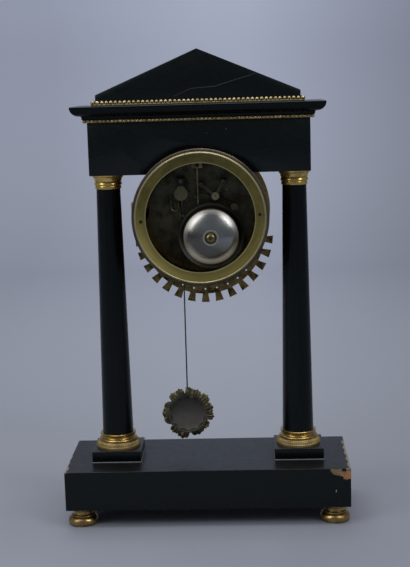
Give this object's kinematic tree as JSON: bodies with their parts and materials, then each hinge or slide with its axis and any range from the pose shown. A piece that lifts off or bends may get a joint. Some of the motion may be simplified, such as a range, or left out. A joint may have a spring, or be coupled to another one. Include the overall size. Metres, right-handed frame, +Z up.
{
  "type": "portico clock",
  "caption": "Free-standing portico clock: black columned case with a pediment, round drum movement, hinged glass bezel, turning hands, bell with hammer and a swinging pendulum.",
  "frame": {"origin": "On the ground under the middle of the plinth.", "axes": "+Z up; the dial faces -Y and the open back faces +Y; X runs along the plinth's width."},
  "size_m": [0.27, 0.104, 0.4455],
  "materials": {
    "black_wood": "polished black veneer",
    "gilt_bronze": "gilt, worn",
    "aged_brass": "aged, dull",
    "steel": "brushed",
    "bell_steel": "polished",
    "blued_steel": "blued",
    "dial_enamel": "glazed",
    "bezel_glass": "clear"
  },
  "bodies": {
    "case": {"plinth": "black_wood", "foot_front_left": "gilt_bronze", "foot_front_right": "gilt_bronze", "foot_back_left": "gilt_bronze", "foot_back_right": "gilt_bronze", "pedestal_left": "black_wood", "pedestal_right": "black_wood", "column_base_left": "gilt_bronze", "column_base_right": "gilt_bronze", "column_shaft_left": "black_wood", "column_shaft_right": "black_wood", "capital_left": "gilt_bronze", "capital_right": "gilt_bronze", "tie_rods": "steel", "tie_rod_nuts": "steel", "frieze": "black_wood", "lower_bead_strip": "gilt_bronze", "cornice": "black_wood", "upper_bead_strip": "gilt_bronze", "pediment": "black_wood", "drum": "aged_brass", "drum_screws": "steel", "back_ring": "aged_brass", "bezel_seat": "gilt_bronze", "rayed_collar": "gilt_bronze", "hinge_pin": "aged_brass", "dial": "dial_enamel", "dial_feet": "aged_brass", "front_plate": "aged_brass", "back_plate": "aged_brass", "plate_pillars": "aged_brass", "straps": "steel", "strap_screws": "steel", "hammer_cock": "aged_brass", "hammer_spring": "steel", "bell_stand": "aged_brass", "bell": "bell_steel", "bell_nut": "aged_brass", "suspension_cock": "aged_brass", "cock_screws": "steel", "steady_hook": "aged_brass"},
    "bezel": {"bezel_door": "gilt_bronze", "bezel_glass": "bezel_glass"},
    "minute_hand_set": {"minute_hand": "blued_steel", "cannon_pinion": "steel", "hand_nut": "aged_brass"},
    "hour_hand_set": {"hour_hand": "blued_steel", "hour_wheel": "aged_brass"},
    "minute_wheel": {"minute_wheel": "aged_brass"},
    "third_wheel": {"third_wheel": "aged_brass"},
    "center_wheel": {"center_wheel": "aged_brass"},
    "going_barrel": {"going_barrel": "aged_brass"},
    "escape_wheel": {"escape_wheel": "aged_brass"},
    "strike_wheel": {"strike_wheel": "aged_brass"},
    "strike_barrel": {"strike_barrel": "aged_brass"},
    "fly": {"fly": "aged_brass"},
    "hammer": {"hammer": "steel"},
    "pendulum": {"pendulum_rod": "steel", "pendulum_bob": "gilt_bronze"},
    "anchor": {"anchor": "steel"}
  },
  "joints": [
    {"name": "bezel_hinge", "type": "hinge", "parent": "case", "child": "bezel", "pos_m": [0.0684, -0.04115, 0.292], "axis": [0, 0, 1], "range_deg": [0, 110]},
    {"name": "minute_turn", "type": "hinge", "parent": "case", "child": "minute_hand_set", "pos_m": [0, -0.0385, 0.292], "axis": [0, 1, 0], "continuous": true},
    {"name": "hour_turn", "type": "hinge", "parent": "case", "child": "hour_hand_set", "pos_m": [0, -0.038, 0.292], "axis": [0, 1, 0], "continuous": true},
    {"name": "minute_wheel_turn", "type": "hinge", "parent": "case", "child": "minute_wheel", "pos_m": [0, -0.033, 0.304], "axis": [0, 1, 0], "continuous": true},
    {"name": "third_wheel_turn", "type": "hinge", "parent": "case", "child": "third_wheel", "pos_m": [0.00574, -0.0143, 0.30776], "axis": [0, 1, 0], "continuous": true},
    {"name": "center_wheel_turn", "type": "hinge", "parent": "case", "child": "center_wheel", "pos_m": [0, -0.0143, 0.292], "axis": [0, 1, 0], "continuous": true},
    {"name": "going_barrel_turn", "type": "hinge", "parent": "case", "child": "going_barrel", "pos_m": [0.01647, -0.0143, 0.28361], "axis": [0, 1, 0], "continuous": true},
    {"name": "escape_wheel_turn", "type": "hinge", "parent": "case", "child": "escape_wheel", "pos_m": [0.0162, -0.0143, 0.30073], "axis": [0, 1, 0], "continuous": true},
    {"name": "strike_wheel_turn", "type": "hinge", "parent": "case", "child": "strike_wheel", "pos_m": [-0.02187, -0.0143, 0.30128], "axis": [0, 1, 0], "continuous": true},
    {"name": "strike_barrel_turn", "type": "hinge", "parent": "case", "child": "strike_barrel", "pos_m": [-0.01647, -0.0143, 0.28361], "axis": [0, 1, 0], "continuous": true},
    {"name": "fly_turn", "type": "hinge", "parent": "case", "child": "fly", "pos_m": [-0.02416, -0.0143, 0.31428], "axis": [0, 1, 0], "continuous": true},
    {"name": "hammer_lift", "type": "hinge", "parent": "case", "child": "hammer", "pos_m": [-0.0137, 0.007, 0.3095], "axis": [0, 1, 0], "range_deg": [0, 15], "stiffness_Nm_per_rad": 0.01, "springref_deg": -11.46},
    {"name": "pendulum_swing", "type": "hinge", "parent": "case", "child": "pendulum", "pos_m": [0.0185, 0.00825, 0.312], "axis": [0, 1, 0], "range_deg": [-4, 4]},
    {"name": "anchor_rock", "type": "hinge", "parent": "case", "child": "anchor", "pos_m": [0.0185, 0, 0.312], "axis": [0, 1, 0], "range_deg": [-4, 4]}
  ],
  "couplings": [
    {"joint": "hour_turn", "follows": "minute_turn", "ratio": 0.083333},
    {"joint": "minute_wheel_turn", "follows": "minute_turn", "ratio": -0.33333},
    {"joint": "center_wheel_turn", "follows": "third_wheel_turn", "ratio": -0.083333},
    {"joint": "going_barrel_turn", "follows": "third_wheel_turn", "ratio": 0.013889},
    {"joint": "escape_wheel_turn", "follows": "third_wheel_turn", "ratio": -11},
    {"joint": "strike_barrel_turn", "follows": "strike_wheel_turn", "ratio": -0.16667},
    {"joint": "fly_turn", "follows": "strike_wheel_turn", "ratio": -10},
    {"joint": "anchor_rock", "follows": "pendulum_swing", "ratio": 1}
  ]
}
